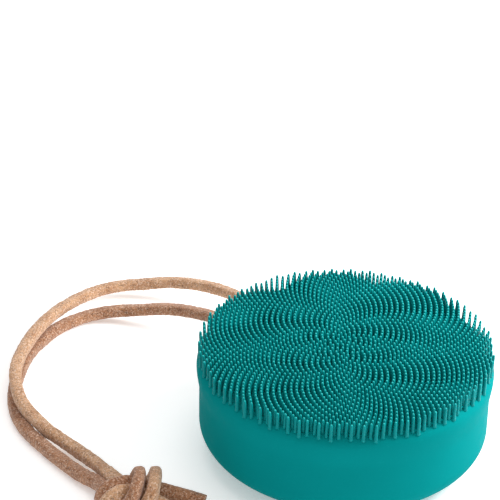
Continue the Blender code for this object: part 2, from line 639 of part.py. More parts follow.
def make_strap(look):
    spacing = 2.5 * 2 * CORD_R
    for name, side, strand in (("strap_strand_a", -1, STRAND_A), ("strap_strand_b", 1, STRAND_B)):
        bend = round_the_bar(side)
        free = smooth_route([bend[-1], bend[-1] + STRAP_OUT * 0.0035] + strand, spacing)
        tube(name, look, bend + free[1:], CORD_R)
    tube("strap_tail_a", look, smooth_route(TAIL_A, spacing), CORD_R)
    tube("strap_tail_b", look, smooth_route(TAIL_B, spacing), CORD_R)

    h, r = KNOT_HALF_H, KNOT_R
    pebble = [(0.0, -h), (0.65 * r, -h), (0.92 * r, -0.6 * h), (r, 0.0), (0.92 * r, 0.6 * h),
              (0.65 * r, h), (0.0, h)]
    piece("strap_knot", look, lambda m: turned(m, pebble, segments=24), KNOT_MIDDLE)


# ---- the brush ----------------------------------------------------------------------------
def main():
    for item in list(bpy.data.objects):
        bpy.data.objects.remove(item, do_unlink=True)
    silicone = material("teal_silicone", (0.002, 0.205, 0.205), 0.45)
    bristle = material("teal_bristle", (0.003, 0.225, 0.215), 0.45)
    housing = material("grey_housing", (0.30, 0.32, 0.33), 0.5)
    cover = material("teal_cover", (0.002, 0.120, 0.122), 0.38)
    button = material("teal_button", (0.004, 0.210, 0.205), 0.5)
    rubber = material("black_rubber", (0.02, 0.02, 0.02), 0.7)
    steel = material("steel", (0.60, 0.60, 0.62), 0.3, 1.0)
    gold = material("gold", (0.85, 0.62, 0.25), 0.25, 1.0)
    nickel = material("nickel", (0.66, 0.64, 0.60), 0.25, 1.0)
    brass = material("weight_brass", (0.55, 0.42, 0.20), 0.35, 1.0)
    lens = material("clear_light", (0.90, 0.93, 0.95), 0.2)
    board = material("green_board", (0.01, 0.12, 0.05), 0.45)
    dark = material("dark_plastic", (0.03, 0.03, 0.035), 0.4)
    ivory = material("ivory_plastic", (0.75, 0.72, 0.62), 0.5)
    foil = material("battery_wrap", (0.35, 0.40, 0.48), 0.35)
    foam = material("grey_foam", (0.12, 0.12, 0.13), 0.9)
    red = material("red_lead", (0.55, 0.02, 0.02), 0.5)
    black = material("black_lead", (0.02, 0.02, 0.02), 0.5)
    leather = material("tan_leather", (0.55, 0.32, 0.18), 0.8)

    make_skin(silicone)
    make_bristle_field(bristle)
    make_housing(housing)
    make_seal(rubber)
    make_screws(steel)
    make_cover(cover)
    make_button(button)
    make_charging(gold, nickel, lens)
    make_board(board, dark, ivory, lens)
    make_switch(dark, ivory)
    make_chassis(housing)
    make_battery(foil, foam)
    make_motor(steel, steel, brass, steel, steel)
    make_leads(red, black)
    make_strap_socket(housing, steel)
    make_strap(leather)


main()
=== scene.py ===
"""Studio scene of the silicone cleansing brush with its looped and knotted leather strap.

The brush rests at z = 0 with the bristles up, and +Y points at the side the strap leaves.
Lengths are metres.
"""
import json
import math
import random

import bmesh
import bpy
import numpy as np
from mathutils import Matrix, Vector, noise


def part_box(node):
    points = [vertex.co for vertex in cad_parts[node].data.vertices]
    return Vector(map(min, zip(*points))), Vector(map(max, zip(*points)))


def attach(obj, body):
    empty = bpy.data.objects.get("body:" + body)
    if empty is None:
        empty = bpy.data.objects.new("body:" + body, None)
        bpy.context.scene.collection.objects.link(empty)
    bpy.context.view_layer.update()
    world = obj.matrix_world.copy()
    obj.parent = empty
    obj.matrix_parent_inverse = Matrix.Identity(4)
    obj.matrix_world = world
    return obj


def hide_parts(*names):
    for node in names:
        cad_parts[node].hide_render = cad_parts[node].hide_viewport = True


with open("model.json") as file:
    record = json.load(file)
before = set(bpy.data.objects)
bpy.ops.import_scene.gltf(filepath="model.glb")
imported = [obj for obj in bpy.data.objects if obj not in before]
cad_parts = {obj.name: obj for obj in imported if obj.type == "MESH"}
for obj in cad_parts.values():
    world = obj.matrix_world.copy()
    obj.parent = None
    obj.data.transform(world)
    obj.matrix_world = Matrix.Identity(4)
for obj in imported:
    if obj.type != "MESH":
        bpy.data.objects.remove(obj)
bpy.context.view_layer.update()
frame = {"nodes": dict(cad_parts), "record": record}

# ---- brush body ---------------------------------------------------------------------------
SKIN_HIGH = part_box("silicone_skin")[1]
TOTAL_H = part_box("bristle_field")[1][2]     # height of the bristle tips
FACE_Z = SKIN_HIGH[2]                       # silicone face that the bristles stand on
BODY_R = SKIN_HIGH[0]                       # widest radius, at the shoulder
WAIST_R, WAIST_Z = 0.0412, 0.0195           # narrowest place of the side, and its height
SHOULDER = 0.0032                           # radius of the rounded shoulder
FOOT_R, FOOT_RISE = 0.0262, 0.0098          # flat foot and the rounded lower edge
MOUTH_R = 0.0202                            # opening in the underside
SKIN, SKIN_UNDER = 0.0024, 0.0020           # silicone wall, and the wall under the housing
SKIN_FACE = 0.0027                          # silicone under the bristles
GAP = 0.0003                                # clearance between neighbouring pieces
ROUND = 256                                 # segments of the turned silicone body

# ---- bristles -----------------------------------------------------------------------------
SPIRAL_STEP = 0.000874                      # the spiral's radius grows by this times root k
GOLDEN_ANGLE = math.pi * (3 - math.sqrt(5))
SPIRAL_START = 1.112                        # direction of the first bristle, in radians
SPIRAL_MIDDLE = Vector((-0.0012, -0.00136))
BRISTLE_FIELD_R = 0.0413                    # outermost roots, on the rounded shoulder
BRISTLE_SPLAY = 0.0003                      # how far the outermost tips lean out
BRISTLE_LEAN = 0.00006                      # how far any tip leans at random
BRISTLE_UNEVEN = 0.00012                    # how much shorter a bristle may be
BRISTLE_SIDES = 8
# Radius and height above the face, then radius and depth below the tip.
BRISTLE_STEM = ((0.00070, -0.0002), (0.00056, 0.00050), (0.00050, 0.00160))
BRISTLE_TIP = ((0.00044, 0.00100), (0.00037, 0.00040), (0.00030, 0.00014), (0.00017, 0.00002))

# ---- strap --------------------------------------------------------------------------------
STRAP_ANGLE = math.radians(125.0)           # where the strap leaves, from +X
STRAP_OUT = Vector((math.cos(STRAP_ANGLE), math.sin(STRAP_ANGLE), 0))
STRAP_SIDE = Vector((-STRAP_OUT.y, STRAP_OUT.x, 0))
STRAP_Z = 0.0145                            # height of the socket and its bar
SOCKET_HALF_W, SOCKET_HALF_H = 0.0088, 0.0042
WINDOW_IN, WINDOW_DEEP = 0.0340, 0.0120     # inner end and depth of the cut in the silicone
BAR_OUT = 0.0355                            # the bar, from the body's axis
BEND_R = 0.0053                             # the strap's middle line round the bar
STRAP_T = 0.0034                            # thickness of the leather
STRAP_W_A, STRAP_W_B = 0.0036, 0.0039       # widths of the two cords
KNOT_WIDER = 0.0009                         # the leather is pressed wider in the knot
SWELL, SWELL_SCALE = 0.05, 150              # slow change of the leather's size along it
ROUGH, ROUGH_SCALES = 0.00013, (700, 1900)  # height of the cut surface's two noises

# The two strands from the body to the knot, in order.
STRAND_A = [
    (-0.0237, 0.0433, 0.0138), (-0.0300, 0.0545, 0.0122), (-0.0371, 0.0649, 0.0100),
    (-0.0468, 0.0722, 0.0082), (-0.0567, 0.0759, 0.0066), (-0.0655, 0.0768, 0.0050),
    (-0.0738, 0.0760, 0.0042), (-0.0818, 0.0710, 0.0042), (-0.0894, 0.0598, 0.0052),
    (-0.0944, 0.0470, 0.0061), (-0.0972, 0.0342, 0.0065), (-0.0981, 0.0220, 0.0066),
    (-0.0963, 0.0113, 0.0063), (-0.0922, 0.0022, 0.0054), (-0.0846, -0.0066, 0.0040),
    (-0.0757, -0.0138, 0.0031), (-0.0678, -0.0220, 0.0037), (-0.0616, -0.0288, 0.0048),
]
STRAND_B = [
    (-0.0330, 0.0377, 0.0138), (-0.0382, 0.0446, 0.0122), (-0.0438, 0.0508, 0.0103),
    (-0.0545, 0.0573, 0.0078), (-0.0667, 0.0607, 0.0048), (-0.0764, 0.0611, 0.0032),
    (-0.0841, 0.0583, 0.0022), (-0.0900, 0.0525, 0.0019), (-0.0943, 0.0444, 0.0019),
    (-0.0969, 0.0368, 0.0019), (-0.0980, 0.0277, 0.0019), (-0.0980, 0.0177, 0.0019),
    (-0.0961, 0.0066, 0.0019), (-0.0910, -0.0043, 0.0020), (-0.0823, -0.0150, 0.0021),
    (-0.0726, -0.0251, 0.0026), (-0.0646, -0.0322, 0.0040),
]
# The overhand knot that both strands make together: forward under everything, up and back
# over the top, down and forward underneath, round the left side and out to the right.
KNOT_A = [
    (-0.0574, -0.0340, 0.0046), (-0.0538, -0.0392, 0.0042), (-0.0520, -0.0445, 0.0046),
    (-0.0508, -0.0474, 0.0070), (-0.0500, -0.0445, 0.0102), (-0.0501, -0.0362, 0.0113),
    (-0.0505, -0.0296, 0.0101), (-0.0507, -0.0268, 0.0058), (-0.0520, -0.0306, 0.0020),
    (-0.0578, -0.0385, 0.0018), (-0.0634, -0.0446, 0.0022), (-0.0668, -0.0450, 0.0050),
    (-0.0640, -0.0425, 0.0078), (-0.0596, -0.0398, 0.0080), (-0.0553, -0.0382, 0.0066),
    (-0.0500, -0.0378, 0.0042),
]
KNOT_B = [
    (-0.0606, -0.0368, 0.0044), (-0.0576, -0.0414, 0.0042), (-0.0560, -0.0450, 0.0046),
    (-0.0556, -0.0474, 0.0070), (-0.0553, -0.0449, 0.0082), (-0.0555, -0.0400, 0.0080),
    (-0.0557, -0.0358, 0.0068), (-0.0558, -0.0328, 0.0044), (-0.0568, -0.0334, 0.0019),
    (-0.0612, -0.0366, 0.0018), (-0.0652, -0.0412, 0.0022), (-0.0680, -0.0415, 0.0046),
    (-0.0650, -0.0402, 0.0066), (-0.0610, -0.0384, 0.0066), (-0.0555, -0.0352, 0.0058),
    (-0.0498, -0.0330, 0.0056),
]
TAIL_FRONT = [(-0.0480, -0.0386, 0.0032), (-0.0430, -0.0412, 0.0023), (-0.0372, -0.0446, 0.0020)]
TAIL_BACK = [(-0.0478, -0.0336, 0.0048), (-0.0420, -0.0343, 0.0036), (-0.0367, -0.0352, 0.0026)]

KNOT_X = (-0.0620, -0.0490)                 # from the knot's left side to its right
KNOT_Y = -0.0260                            # the knot lies in front of this
FLOOR_GAP = 0.00005                         # lowest that the leather lies


# ---- camera and light ---------------------------------------------------------------------
CAMERA_AT = Vector((0.0, -0.4933, 0.3416))
CAMERA_AIM = Vector((-0.0291, 0.0286, 0.0466))
CAMERA_ROLL = math.radians(1.05)
CAMERA_LENS = 148.6
WORLD_STRENGTH = 0.58
FLOOR_SIZE, FLOOR_GLOW = 6.0, 0.30


def make_camera():
    data = bpy.data.cameras.new("camera")
    data.lens = CAMERA_LENS
    data.clip_start = 0.01
    camera = bpy.data.objects.new("camera", data)
    bpy.context.scene.collection.objects.link(camera)
    look = (CAMERA_AIM - CAMERA_AT).to_track_quat("-Z", "Y").to_matrix().to_4x4()
    roll = Matrix.Rotation(CAMERA_ROLL, 4, "Z")
    camera.matrix_world = Matrix.Translation(CAMERA_AT) @ look @ roll
    bpy.context.scene.camera = camera


def area_light(name, place, aim, size, power):
    data = bpy.data.lights.new(name, "AREA")
    data.shape = "DISK"
    data.size = size
    data.energy = power
    light = bpy.data.objects.new(name, data)
    light.location = place
    light.visible_camera = False
    light.rotation_euler = (Vector(aim) - Vector(place)).to_track_quat("-Z", "Y").to_euler()
    bpy.context.scene.collection.objects.link(light)


def make_studio():
    scene = bpy.context.scene
    scene.view_settings.view_transform = "Standard"
    world = bpy.data.worlds.new("studio")
    world.use_nodes = True
    background = world.node_tree.nodes["Background"]
    background.inputs["Color"].default_value = (1.0, 1.0, 1.0, 1.0)
    background.inputs["Strength"].default_value = WORLD_STRENGTH
    scene.world = world
    area_light("key", place=(0.22, 0.05, 0.20), aim=(0.02, 0.0, 0.02), size=0.18, power=1.35)
    area_light("top", place=(-0.05, 0.10, 0.80), aim=(-0.06, 0.0, 0.0), size=0.60, power=1.8)
    mesh = bmesh.new()
    bmesh.ops.create_grid(mesh, x_segments=1, y_segments=1, size=FLOOR_SIZE / 2)
    floor = mesh_object("floor", mesh, plain_floor())


# ---- material helpers ---------------------------------------------------------------------
class Look:
    """A material in the making: its Principled shader, and short calls that add nodes."""

    def __init__(self, name, roughness=0.5, metallic=0.0, ior=1.45, **sockets):
        self.material = bpy.data.materials.new(name)
        self.material.use_nodes = True
        self.tree = self.material.node_tree
        self.shader = self.tree.nodes["Principled BSDF"]
        self.shader.inputs["Roughness"].default_value = roughness
        self.shader.inputs["Metallic"].default_value = metallic
        self.shader.inputs["IOR"].default_value = ior
        for socket, value in sockets.items():
            self.shader.inputs[socket.replace("_", " ")].default_value = value
        self.place = self.tree.nodes.new("ShaderNodeTexCoord").outputs["Object"]

    def node(self, kind, inputs, **settings):
        """A node with its settings, and its inputs linked or set."""
        made = self.tree.nodes.new(kind)
        for setting, value in settings.items():
            setattr(made, setting, value)
        for socket, value in inputs:
            if isinstance(value, bpy.types.NodeSocket):
                self.tree.links.new(value, made.inputs[socket])
            elif made.inputs[socket].type == "RGBA":
                made.inputs[socket].default_value = (*value, 1.0)
            else:
                made.inputs[socket].default_value = value
        return made

    def grain(self, size, detail=2.0, rough=0.5, stretch=None):
        """Noise from 0 to 1 whose features are about size metres across."""
        place = self.place
        if stretch:
            place = self.node("ShaderNodeMapping", [("Vector", place), ("Scale", stretch)]).outputs[0]
        return self.node("ShaderNodeTexNoise", [
            ("Vector", place), ("Scale", 1.0 / size), ("Detail", detail), ("Roughness", rough),
        ]).outputs["Fac"]

    def cells(self, size):
        """Distance to the nearest of points about size metres apart."""
        return self.node("ShaderNodeTexVoronoi", [
            ("Vector", self.place), ("Scale", 1.0 / size)]).outputs["Distance"]

    def height(self):
        """Height above the floor in metres."""
        return self.node("ShaderNodeSeparateXYZ", [("Vector", self.place)]).outputs["Z"]

    def from_axis(self):
        """Distance from the brush's axis in metres."""
        flat = self.node("ShaderNodeVectorMath", [(0, self.place), (1, (1.0, 1.0, 0.0))],
                         operation="MULTIPLY").outputs[0]
        return self.node("ShaderNodeVectorMath", [(0, flat)], operation="LENGTH").outputs["Value"]

    def between(self, value, low, high, to_low=0.0, to_high=1.0):
        """The value brought from low..high to to_low..to_high, and held inside them."""
        return self.node("ShaderNodeMapRange", [
            ("Value", value), ("From Min", low), ("From Max", high),
            ("To Min", to_low), ("To Max", to_high)]).outputs["Result"]

    def ramp(self, value, stops):
        """A colour that follows a value from 0 to 1 through (place, colour) stops."""
        made = self.node("ShaderNodeValToRGB", [("Fac", value)])
        colours = made.color_ramp.elements
        while len(colours) < len(stops):
            colours.new(0.5)
        for element, (where, colour) in zip(colours, stops):
            element.position = where
            element.color = (*colour, 1.0)
        return made.outputs["Color"]

    def mix(self, factor, first, second):
        """The first colour at factor 0 and the second at 1."""
        factor_in, first_in, second_in, colour_out = 0, 6, 7, 2
        return self.node("ShaderNodeMix", [
            (factor_in, factor), (first_in, first), (second_in, second),
        ], data_type="RGBA").outputs[colour_out]

    def colour(self, value):
        self.tree.links.new(value, self.shader.inputs["Base Color"])

    def roughness(self, value):
        self.tree.links.new(value, self.shader.inputs["Roughness"])

    def bump(self, value, depth, strength=1.0):
        """Add a bump of depth metres on top of any there already."""
        made = self.node("ShaderNodeBump", [
            ("Height", value), ("Distance", depth), ("Strength", strength)])
        normal = self.shader.inputs["Normal"]
        if normal.links:
            self.tree.links.new(normal.links[0].from_socket, made.inputs["Normal"])
        self.tree.links.new(made.outputs["Normal"], normal)


# ---- materials ----------------------------------------------------------------------------
def plain_floor():
    """White paper, lit a little from below as on a light table."""
    white, whiter = (0.95, 0.95, 0.95), (0.97, 0.97, 0.97)
    look = Look("plain_floor", roughness=0.9, Emission_Color=(1.0, 1.0, 1.0, 1.0),
                Emission_Strength=FLOOR_GLOW)
    look.colour(look.ramp(look.grain(0.25, detail=1.0), [(0.0, white), (1.0, whiter)]))
    return look.material


def silicone():
    """Soft satin silicone with a faint mould texture and a little dust."""
    deep, pale, dusty = (0.0012, 0.208, 0.212), (0.0014, 0.222, 0.226), (0.012, 0.33, 0.33)
    look = Look("teal_silicone", roughness=0.5, ior=1.41, Specular_IOR_Level=0.003)
    colour = look.ramp(look.grain(0.020, detail=2.0), [(0.25, deep), (0.75, pale)])
    dust = look.between(look.grain(0.0009, detail=1.0), 0.62, 0.80, to_high=0.10)
    look.colour(look.mix(dust, colour, dusty))
    look.roughness(look.between(look.grain(0.0035, detail=3.0), 0.3, 0.7, 0.42, 0.54))
    look.bump(look.grain(0.00035, detail=2.0), 0.00002, 0.5)
    look.bump(look.grain(0.0060, detail=1.0), 0.00015, 0.25)
    return look.material


def bristle_silicone():
    """Silicone of the bristles, with painted light and shade: a painted highlight on the rounded
    tips, the inner stems painted lighter to lift the shade between the bristles, and the rim stems
    painted darker as painted shade.
    """
    look = Look("teal_bristles", roughness=0.45, ior=1.41, Specular_IOR_Level=0.10)
    below_face, rim_start, rim_end = 0.0010, 0.0035, 0.0010
    up = look.between(look.height(), FACE_Z - below_face, TOTAL_H)
    # painted highlight: the top of each bristle, its rounded tip, is painted paler
    tip_highlight = [(0.95, (0.0050, 0.320, 0.318)), (0.99, (0.0360, 0.470, 0.455))]
    # painted light: the inner bristles' stems are painted lighter, lightest at the roots, to lift the
    # shade that falls between them
    inner_shade_lifted = look.ramp(up, [(0.0, (0.0008, 0.270, 0.275)), (0.86, (0.0010, 0.262, 0.265))] + tip_highlight)
    # painted shade: the rim bristles' stems are painted darker, darkest at the roots, against the
    # light that falls on them from the front
    rim_painted_shade = look.ramp(up, [(0.0, (0.0007, 0.225, 0.229)), (0.90, (0.0010, 0.240, 0.243))] + tip_highlight)
    # mask by distance from the axis that swaps the inner stems' painted light for the rim stems'
    # painted shade
    rim_shade_mask = look.between(look.from_axis(), BRISTLE_FIELD_R - rim_start, BRISTLE_FIELD_R - rim_end)
    shaded = look.between(look.grain(0.0045), 0.35, 0.65, to_high=0.30)
    look.colour(look.mix(shaded, look.mix(rim_shade_mask, inner_shade_lifted, rim_painted_shade), (0.0008, 0.230, 0.233)))
    look.roughness(look.between(look.grain(0.0010), 0.3, 0.7, 0.38, 0.52))
    look.bump(look.grain(0.00025, detail=1.0), 0.00002, 0.4)
    return look.material


def leather(name, light, dark, fibre):
    """Cut natural leather: a matt, fuzzy flesh side with pale fibres and dark flecks."""
    look = Look(name, roughness=0.88, ior=1.38, Sheen_Weight=0.25, Sheen_Roughness=0.5)
    cloudy = look.grain(0.0050, detail=3.0, rough=0.6)
    colour = look.ramp(cloudy, [(0.30, dark), (0.70, light)])
    speckle = look.grain(0.00062, detail=3.0, rough=0.75)
    flecks = look.between(speckle, 0.49, 0.39, to_high=0.72)
    colour = look.mix(flecks, colour, tuple(channel * 0.32 for channel in dark))
    fuzz = look.between(look.grain(0.00056, detail=4.0, rough=0.8), 0.51, 0.62, to_high=0.68)
    look.colour(look.mix(fuzz, colour, fibre))
    look.roughness(look.between(cloudy, 0.3, 0.7, 0.80, 0.95))
    look.bump(speckle, 0.00030, 1.0)
    look.bump(look.grain(0.0018, detail=3.0), 0.00035, 0.6)
    return look.material


def moulded(name, colour, roughness=0.45, texture=0.0003):
    """Moulded plastic with a fine spark-eroded texture and slightly uneven gloss."""
    look = Look(name, roughness=roughness)
    paler = tuple(min(1.0, channel * 1.15 + 0.004) for channel in colour)
    darker = tuple(channel * 0.88 for channel in colour)
    look.colour(look.ramp(look.grain(0.009, detail=3.0), [(0.3, darker), (0.7, paler)]))
    look.roughness(look.between(look.grain(0.003, detail=2.0), 0.3, 0.7,
                                roughness - 0.06, roughness + 0.08))
    look.bump(look.cells(texture), 0.00002, 0.35)
    return look.material


def metal(name, colour, roughness=0.28, stretch=(1.0, 1.0, 18.0)):
    """Plain metal with fine drawn lines and a few duller patches."""
    look = Look(name, roughness=roughness, metallic=1.0)
    darker = tuple(channel * 0.78 for channel in colour)
    look.colour(look.ramp(look.grain(0.0022, detail=4.0), [(0.3, darker), (0.7, colour)]))
    lines = look.grain(0.0012, detail=3.0, stretch=stretch)
    look.roughness(look.between(lines, 0.3, 0.7, roughness - 0.08, roughness + 0.14))
    look.bump(lines, 0.00001, 0.4)
    return look.material


# ---- mesh helpers -------------------------------------------------------------------------
def ring(mesh, x, y, z, radius, count, turn=0.0):
    """Add a level circle of vertices."""
    points = []
    for step in range(count):
        angle = turn + math.tau * step / count
        points.append(mesh.verts.new((x + radius * math.cos(angle),
                                      y + radius * math.sin(angle), z)))
    return points


def join_rings(mesh, rings):
    """Add the faces between each closed ring of vertices and the next."""
    for low, high in zip(rings, rings[1:]):
        for step in range(len(low)):
            after = (step + 1) % len(low)
            mesh.faces.new((low[step], low[after], high[after], high[step]))


def mesh_object(name, mesh, look, smooth_deg=None):
    """Make a linked object from a bmesh and free the bmesh."""
    bmesh.ops.recalc_face_normals(mesh, faces=mesh.faces)
    data = bpy.data.meshes.new(name)
    mesh.to_mesh(data)
    mesh.free()
    data.shade_smooth()
    if smooth_deg:
        data.set_sharp_from_angle(angle=math.radians(smooth_deg))
    if look:
        data.materials.append(look)
    made = bpy.data.objects.new(name, data)
    bpy.context.scene.collection.objects.link(made)
    return made


# ---- routes of the strap ------------------------------------------------------------------
def even_route(points, spacing):
    """Points at equal spacing on a Catmull-Rom curve through the given points."""
    places = np.array(points, float)
    ends = np.vstack([2 * places[0] - places[1], places, 2 * places[-1] - places[-2]])
    fine, steps = [places[0]], 24
    for before, start, end, after in zip(ends, ends[1:], ends[2:], ends[3:]):
        for step in range(1, steps + 1):
            t = step / steps
            fine.append(0.5 * (2 * start + (end - before) * t
                               + (2 * before - 5 * start + 4 * end - after) * t ** 2
                               + (3 * start - before - 3 * end + after) * t ** 3))
    fine = np.array(fine)
    walked = np.concatenate([[0.0], np.cumsum(np.linalg.norm(np.diff(fine, axis=0), axis=1))])
    wanted = np.linspace(0.0, walked[-1], round(walked[-1] / spacing) + 1)
    return np.stack([np.interp(wanted, walked, fine[:, axis]) for axis in range(3)], axis=1)


def round_the_bar(side):
    """The strap's way from behind the bar to one side of it, as points on an arc."""
    bar = STRAP_OUT * BAR_OUT + Vector((0, 0, STRAP_Z))
    first, steps = 2 * GAP / BEND_R, 6
    points = []
    for step in range(steps + 1):
        angle = first + (math.pi / 2 - first) * step / steps
        points.append(bar - STRAP_OUT * BEND_R * math.cos(angle)
                      + STRAP_SIDE * side * BEND_R * math.sin(angle))
    return points


def neighbour_steps(line, spacing):
    """Smooth one line a little and bring its points back to their spacing."""
    straightening, smoothing, pulling = 0.25, 0.10, 0.25
    line[1:-1] += straightening * ((line[:-2] + line[2:]) / 2 - line[1:-1])
    smooth = (4 * (line[1:-3] + line[3:-1]) - line[:-4] - line[4:]) / 6
    line[2:-2] += smoothing * (smooth - line[2:-2])
    gaps = line[1:] - line[:-1]
    lengths = np.linalg.norm(gaps, axis=1)[:, None]
    pull = pulling * (lengths - spacing) / lengths * gaps
    line[:-1] += pull
    line[1:] -= pull


def settle_knot(first, second, spacing, held_in, held_out):
    """Push two lines apart wherever the leather would pass through itself.

    The first held_in points of each line and its last held_out points stay where they are.
    """
    touching, floor, tightening, rounds = 0.0035, 0.0018, 0.97, 400
    along_itself, push_share, not_zero = 1.9 * touching, 0.175, 1e-9
    count = len(first)
    points = np.vstack([first, second])
    in_second = np.arange(len(points)) >= count
    index = np.where(in_second, np.arange(len(points)) - count, np.arange(len(points)))
    same = in_second[:, None] == in_second[None, :]
    near = abs(index[:, None] - index[None, :]) * spacing <= along_itself
    apart = ~(same & near)
    last = np.where(in_second, len(second), count) - 1
    held = (index < held_in) | (index > last - held_out)
    for _ in range(rounds):
        before = points.copy()
        ways = points[:, None] - points[None, :]
        far = np.linalg.norm(ways, axis=2) + not_zero
        push = np.where(apart & (far < touching), (touching - far) / far, 0.0)
        points = points + push_share * (ways * push[:, :, None]).sum(axis=1)
        neighbour_steps(points[:count], spacing * tightening)
        neighbour_steps(points[count:], spacing * tightening)
        points[:, 2] = np.maximum(points[:, 2], floor)
        points[held] = before[held]
    return points[:count], points[count:]


def strap_routes():
    """The middle lines of both leather cords, from behind the bar to the cut ends."""
    coarse, fine = 0.0010, 0.0005
    past_bar = 0.0035
    shared_a, shared_b = 4, 3               # last points of each strand that the knot starts with
    knot_a, knot_b = settle_knot(
        even_route(STRAND_A[-shared_a:] + KNOT_A + TAIL_FRONT, coarse),
        even_route(STRAND_B[-shared_b:] + KNOT_B + TAIL_BACK, coarse),
        coarse, held_in=22, held_out=8)
    routes = []
    for side, strand, shared, knot in (
            (-1, STRAND_A, shared_a, knot_a), (1, STRAND_B, shared_b, knot_b)):
        bend = round_the_bar(side)
        start = bend + [bend[-1] + STRAP_OUT * past_bar]
        lead = even_route([tuple(point) for point in start] + strand[:1 - shared], coarse)
        whole = np.vstack([lead, knot[1:]])
        every_other = np.vstack([whole[:-1:2], whole[-1:]])
        routes.append(even_route(every_other, fine))
    return routes


# ---- leather cords ------------------------------------------------------------------------
def section(width, thickness, count=20, squareness=3.2):
    """Points of a rounded rectangle, as a superellipse."""
    points = []
    for step in range(count):
        angle = 2 * math.pi * (step + 0.5) / count
        across, up = math.cos(angle), math.sin(angle)
        points.append((width / 2 * math.copysign(abs(across) ** (2 / squareness), across),
                       thickness / 2 * math.copysign(abs(up) ** (2 / squareness), up)))
    return points


def in_knot(place):
    """How far into the knot a place is, from 0 outside it to 1 in its middle part."""
    edge = 0.0060
    depth = min(place.x - KNOT_X[0] + edge, KNOT_X[1] + edge - place.x) / edge
    depth = max(0.0, min(1.0, depth))
    return depth * depth * (3 - 2 * depth) if place.y < KNOT_Y else 0.0


def leather_cord(name, look, route, width, seed):
    """A strip of leather along a route, with a rough cut surface and square ends."""
    outline = section(width, STRAP_T)
    flattening = 0.04
    mesh = bmesh.new()
    rings = []
    up = Vector((0, 0, 1))
    offset = Vector((seed, 0, 0))
    places = [Vector(point) for point in route]
    for index, place in enumerate(places):
        ahead = places[min(index + 1, len(places) - 1)] - places[max(index - 1, 0)]
        ahead.normalize()
        tied = in_knot(place)
        if tied < 0.5:                      # the strap lies flat outside the knot
            up = up.lerp(Vector((0, 0, 1)), flattening)
        up = (up - ahead * up.dot(ahead)).normalized()
        across = ahead.cross(up)
        swell = 1 + SWELL * noise.noise(place * SWELL_SCALE + offset)
        points = []
        for along, high in outline:
            out = across * along * (1 + tied * KNOT_WIDER / width) + up * high
            spot = place + out * swell
            rough = sum(noise.noise(spot * scale + offset) for scale in ROUGH_SCALES)
            spot += out.normalized() * rough * ROUGH
            spot.z = max(spot.z, FLOOR_GAP)
            points.append(mesh.verts.new(spot))
        rings.append(points)
    join_rings(mesh, rings)
    mesh.faces.new(rings[0][::-1])
    mesh.faces.new(rings[-1])
    return mesh_object(name, mesh, look, smooth_deg=60)


def make_strap():
    tan = leather("leather_tan", (0.610, 0.350, 0.192), (0.420, 0.202, 0.092),
                  (0.900, 0.700, 0.560))
    brown = leather("leather_brown", (0.445, 0.210, 0.104), (0.275, 0.112, 0.048),
                    (0.830, 0.600, 0.460))
    routes = strap_routes()
    pieces = (
        ("strap_cord_a", tan, -1, STRAP_W_A, routes[0],
         ("strap_strand_a", "strap_tail_b", "strap_knot")),
        ("strap_cord_b", brown, 1, STRAP_W_B, routes[1],
         ("strap_strand_b", "strap_tail_a", "strap_knot")),
    )
    for name, look, side, width, route, nodes in pieces:
        cord = leather_cord(name, look, route, width, seed=3.0 * side)
        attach(cord, "body")
        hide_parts(*nodes)


# ---- turned shapes ------------------------------------------------------------------------
def arc(centre_r, centre_z, a, b, start_deg, end_deg, steps):
    """Points of an elliptical arc in the (r, z) plane."""
    points = []
    for step in range(steps + 1):
        angle = math.radians(start_deg + (end_deg - start_deg) * step / steps)
        points.append((centre_r + a * math.cos(angle), centre_z + b * math.sin(angle)))
    return points


def turned(mesh, profile):
    """Add what an (r, z) profile sweeps about the Z axis; its first and last points lie on it."""
    rings = [ring(mesh, 0.0, 0.0, z, radius, ROUND) for radius, z in profile[1:-1]]
    join_rings(mesh, rings)
    mesh.faces.new(rings[0][::-1])
    mesh.faces.new(rings[-1])


# ---- silicone body ------------------------------------------------------------------------
def skin_profile():
    """The silicone wall, out along the face, round to the mouth and back inside."""
    shoulder_r, shoulder_z = BODY_R - SHOULDER, FACE_Z - SHOULDER
    lip = 0.0004
    outside = arc(MOUTH_R + lip, lip, lip, lip, 180, 270, 4)
    outside += arc(FOOT_R, FOOT_RISE, WAIST_R - FOOT_R, FOOT_RISE, -90, 0, 28)
    straight_steps, flare_steps = 4, 12
    for step in range(1, straight_steps + 1):
        outside.append((WAIST_R, FOOT_RISE + (WAIST_Z - FOOT_RISE) * step / straight_steps))
    for step in range(1, flare_steps):
        rise = step / flare_steps
        ease = (1 - math.cos(math.pi * rise)) / 2
        outside.append((WAIST_R + (BODY_R - WAIST_R) * ease,
                        WAIST_Z + (shoulder_z - WAIST_Z) * rise))
    outside += arc(shoulder_r, shoulder_z, SHOULDER, SHOULDER, 0, 90, 14)
    top, side, corner = FACE_Z - SKIN_FACE, WAIST_R - SKIN, 0.0020
    inside = [(0.0, top), (side - corner, top), (side, top - corner)]
    inside += arc(FOOT_R, FOOT_RISE, side - FOOT_R, FOOT_RISE - SKIN_UNDER, 0, -90, 10)
    inside += [(MOUTH_R, SKIN_UNDER)]
    return [(0.0, FACE_Z)] + outside[::-1] + inside[::-1]


def window_cutter():
    """A block as large as the window that the socket's mouth fills."""
    size = Matrix.Diagonal(
        (WINDOW_DEEP, 2 * (SOCKET_HALF_W + GAP), 2 * (SOCKET_HALF_H + GAP), 1.0))
    turn = Matrix.Rotation(STRAP_ANGLE, 4, "Z")
    middle = Matrix.Translation((WINDOW_IN + WINDOW_DEEP / 2, 0.0, STRAP_Z))
    mesh = bmesh.new()
    bmesh.ops.create_cube(mesh, size=1.0, matrix=turn @ middle @ size)
    return mesh_object("window_cutter", mesh, None)


